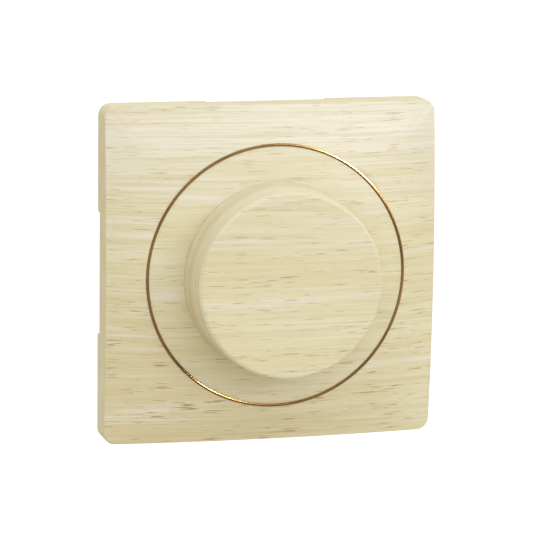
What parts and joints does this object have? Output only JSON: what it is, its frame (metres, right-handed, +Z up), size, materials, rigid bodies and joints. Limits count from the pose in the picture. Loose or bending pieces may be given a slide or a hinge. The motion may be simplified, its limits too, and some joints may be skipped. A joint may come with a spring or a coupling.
{
  "type": "rotary dimmer switch",
  "caption": "Flush rotary push dimmer: square domed wood-effect cover plate, round centre disc with a thin copper trim ring, large round knob, steel frame with spreading claws and a boxed dimmer module.",
  "frame": {"origin": "where the knob's axis meets the wall plane, which is the plane of the cover plate's back edge and of the mounting frame's back face", "axes": "+X to the right, +Y into the wall along the knob's axis, +Z up"},
  "size_m": [0.085, 0.0619, 0.085],
  "materials": {
    "wood_finish": "satin moulded wood-effect surface",
    "copper_trim": "polished copper plating",
    "steel": "zinc-plated",
    "brass": "plain",
    "tinned_metal": "tin-plated",
    "aluminium": "extruded",
    "grey_plastic": "fine spark texture",
    "white_plastic": "fine spark texture",
    "black_plastic": "moulded",
    "circuit_board": "green lacquer",
    "copper_wire": "enamelled winding",
    "film_capacitor": "moulded box",
    "ceramic": "glazed ceramic tube"
  },
  "bodies": {
    "root": {"cover_plate": "wood_finish", "trim_ring": "copper_trim", "centre_disc": "wood_finish", "bush_nut": "brass", "bush_washer": "steel", "threaded_bush": "brass", "potentiometer_shell": "black_plastic", "resistance_track": "black_plastic", "switch_case": "black_plastic", "fixed_contact_left": "brass", "fixed_contact_right": "brass", "return_spring": "steel", "support_frame": "steel", "frame_rivet_1": "brass", "frame_rivet_2": "brass", "frame_rivet_3": "brass", "frame_rivet_4": "brass", "module_case": "grey_plastic", "rear_cover": "white_plastic", "circuit_board": "circuit_board", "choke_coil": "copper_wire", "film_capacitor": "film_capacitor", "electrolytic_capacitor": "black_plastic", "control_chip": "black_plastic", "heat_sink": "aluminium", "power_transistor_left": "black_plastic", "power_transistor_right": "black_plastic", "fuse_link": "ceramic", "fuse_clip_left": "tinned_metal", "fuse_clip_right": "tinned_metal", "terminal_block": "white_plastic", "terminal_clamp_1": "tinned_metal", "terminal_screw_1": "steel", "terminal_clamp_2": "tinned_metal", "terminal_screw_2": "steel", "terminal_clamp_3": "tinned_metal", "terminal_screw_3": "steel", "claw_pin_left": "steel", "claw_pin_right": "steel"},
    "push_slider": {"switch_plunger": "white_plastic", "contact_bridge": "brass"},
    "dial": {"knob": "wood_finish", "knob_clip": "steel", "spindle": "brass"},
    "wiper": {"wiper_rotor": "white_plastic", "wiper_brush": "brass"},
    "left_claw": {"claw_left": "steel"},
    "right_claw": {"claw_right": "steel"},
    "left_claw_screw": {"claw_screw_left": "steel"},
    "right_claw_screw": {"claw_screw_right": "steel"}
  },
  "joints": [
    {"name": "knob_press", "type": "slide", "parent": "root", "child": "push_slider", "axis": [0, 1, 0], "range_m": [0, 0.0012], "stiffness_N_per_m": 2500, "springref_m": -0.001, "deforming": ["return_spring"]},
    {"name": "knob_turn", "type": "hinge", "parent": "push_slider", "child": "dial", "pos_m": [0, 0, 0], "axis": [0, 1, 0], "range_deg": [-140, 140]},
    {"name": "wiper_turn", "type": "hinge", "parent": "root", "child": "wiper", "pos_m": [0, 0, 0], "axis": [0, 1, 0], "range_deg": [-140, 140]},
    {"name": "left_claw_swing", "type": "hinge", "parent": "root", "child": "left_claw", "pos_m": [-0.0254, 0.003, 0], "axis": [0, 0, 1], "range_deg": [0, 25]},
    {"name": "right_claw_swing", "type": "hinge", "parent": "root", "child": "right_claw", "pos_m": [0.0254, 0.003, 0], "axis": [0, 0, -1], "range_deg": [0, 25]},
    {"name": "left_claw_screw_turn", "type": "hinge", "parent": "root", "child": "left_claw_screw", "pos_m": [-0.03, 0, 0], "axis": [0, 1, 0], "range_deg": [0, 1500]},
    {"name": "right_claw_screw_turn", "type": "hinge", "parent": "root", "child": "right_claw_screw", "pos_m": [0.03, 0, 0], "axis": [0, 1, 0], "range_deg": [0, 1500]}
  ],
  "couplings": [
    {"joint": "wiper_turn", "follows": "knob_turn", "ratio": 1},
    {"joint": "left_claw_swing", "follows": "left_claw_screw_turn", "ratio": 0.016667},
    {"joint": "right_claw_swing", "follows": "right_claw_screw_turn", "ratio": 0.016667}
  ]
}
